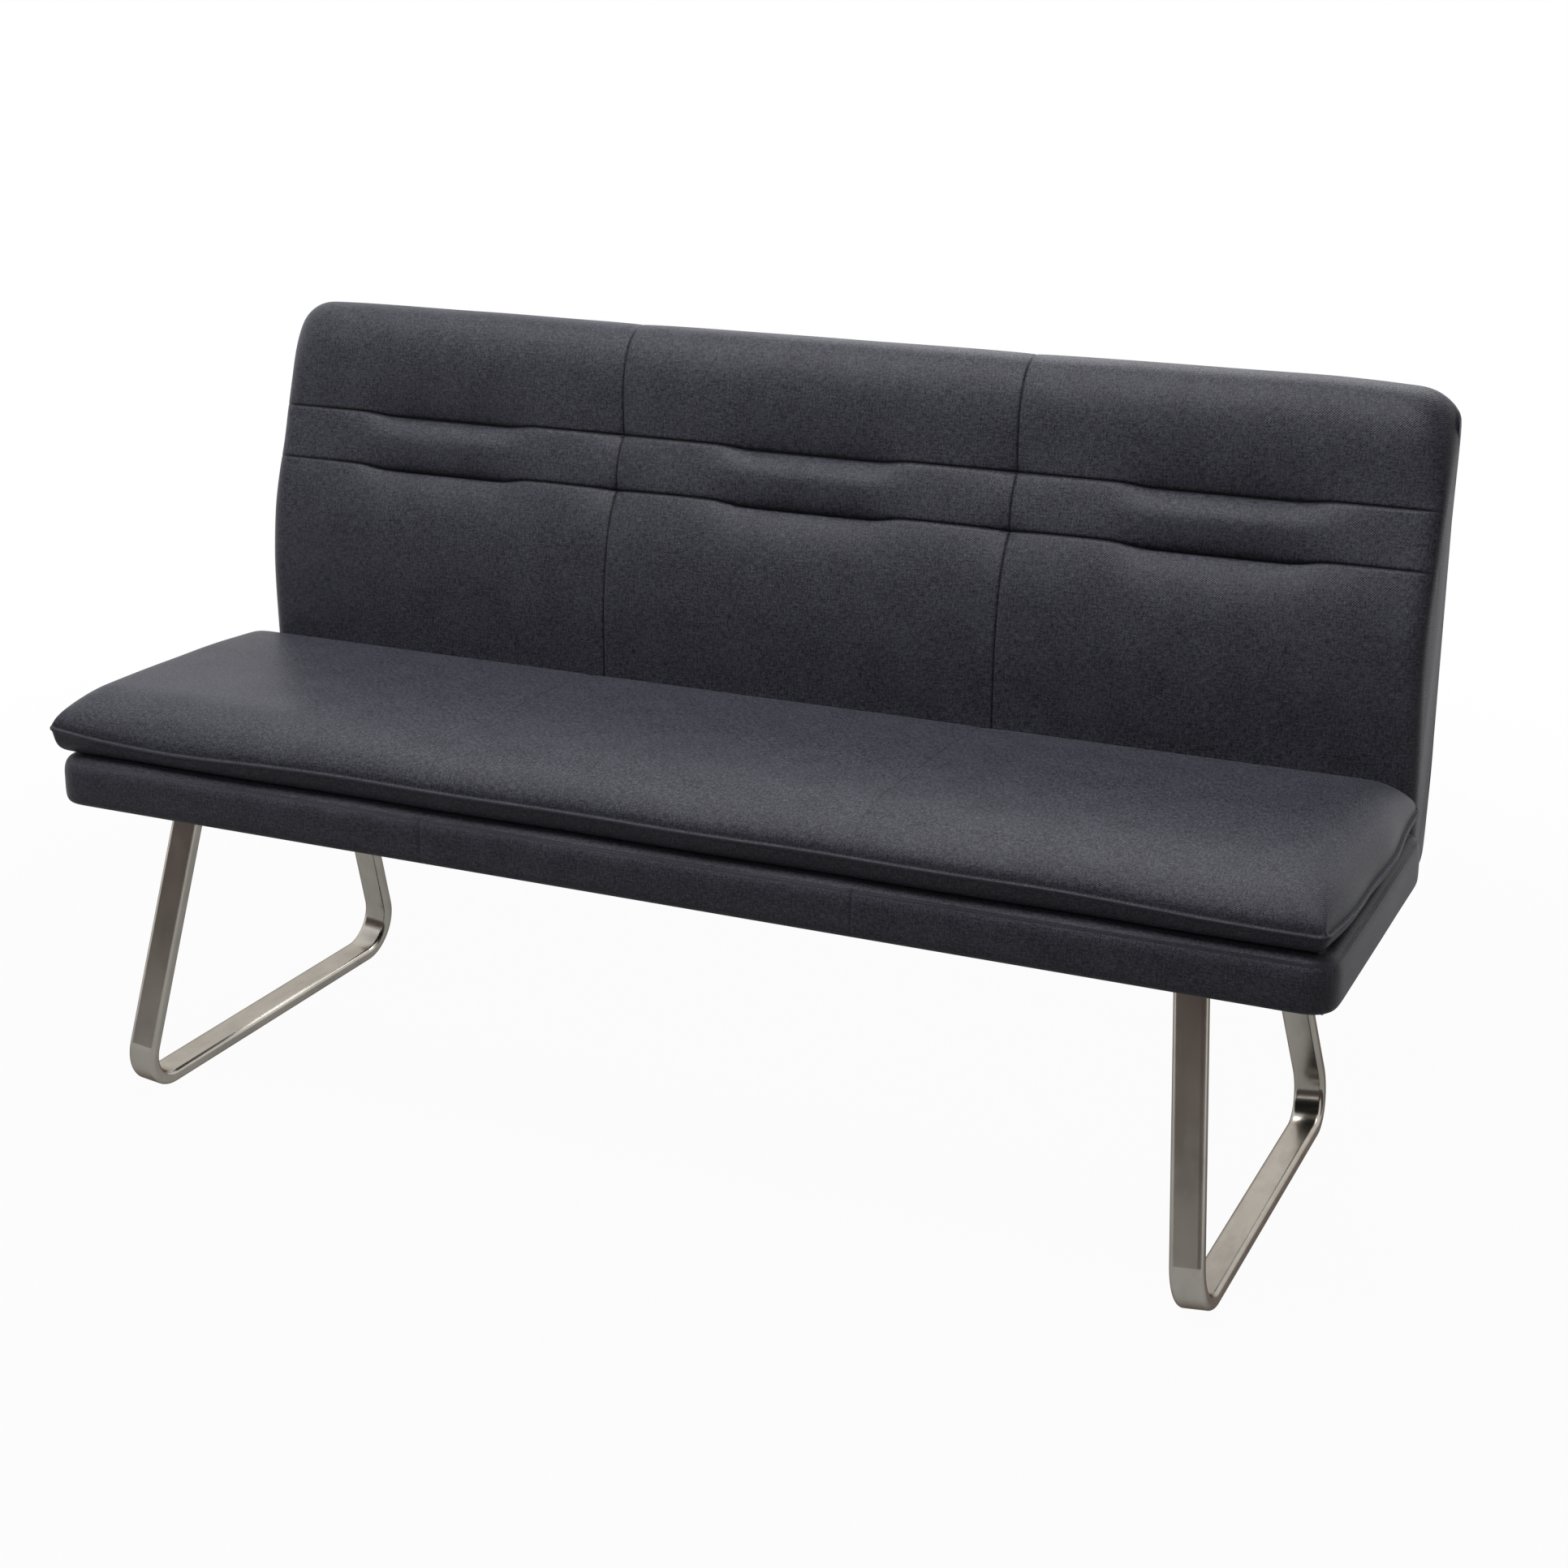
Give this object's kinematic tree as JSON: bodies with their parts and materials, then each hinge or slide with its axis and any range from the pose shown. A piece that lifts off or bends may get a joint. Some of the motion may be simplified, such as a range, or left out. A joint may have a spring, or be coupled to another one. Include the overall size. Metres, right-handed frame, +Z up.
{
  "type": "upholstered dining bench",
  "caption": "Upholstered dining bench with a loose seat cushion, a channel-stitched back rest and bent flat-tube steel skids.",
  "frame": {"origin": "on the floor, at the middle of the bounding box", "axes": "+X along the bench to the sitter's left, -Y the way the sitter faces, +Z up"},
  "size_m": [1.61, 0.6282, 0.9155],
  "materials": {
    "steel_tube": "brushed stainless steel, fine grain along the tube",
    "steel_plate": "plain steel plate",
    "zinc_fastener": "zinc plated",
    "glide_plastic": "matt black plastic",
    "upholstery": "anthracite melange twill weave",
    "foam": "open-cell foam",
    "dust_cloth": "black non-woven cloth",
    "plywood": "unfinished plywood",
    "softwood": "sawn softwood"
  },
  "bodies": {
    "root": {"back_bolts": "zinc_fastener", "back_bottom_rail": "softwood", "back_cover": "upholstery", "back_left_inner_stile": "softwood", "back_left_outer_stile": "softwood", "back_middle_rail": "softwood", "back_nuts": "zinc_fastener", "back_padding": "foam", "back_right_inner_stile": "softwood", "back_right_outer_stile": "softwood", "back_top_rail": "softwood", "cushion_cover": "upholstery", "cushion_filling": "foam", "left_front_glide": "glide_plastic", "left_front_leg_plate": "steel_plate", "left_rear_glide": "glide_plastic", "left_rear_leg_plate": "steel_plate", "left_skid": "steel_tube", "leg_bolts": "zinc_fastener", "leg_tee_nuts": "zinc_fastener", "right_front_glide": "glide_plastic", "right_front_leg_plate": "steel_plate", "right_rear_glide": "glide_plastic", "right_rear_leg_plate": "steel_plate", "right_skid": "steel_tube", "seat_centre_rail": "softwood", "seat_cover": "upholstery", "seat_deck": "plywood", "seat_dust_cover": "dust_cloth", "seat_front_rail": "softwood", "seat_left_cross_rail": "softwood", "seat_left_end_rail": "softwood", "seat_padding": "foam", "seat_rear_rail": "softwood", "seat_right_cross_rail": "softwood", "seat_right_end_rail": "softwood"}
  },
  "joints": []
}
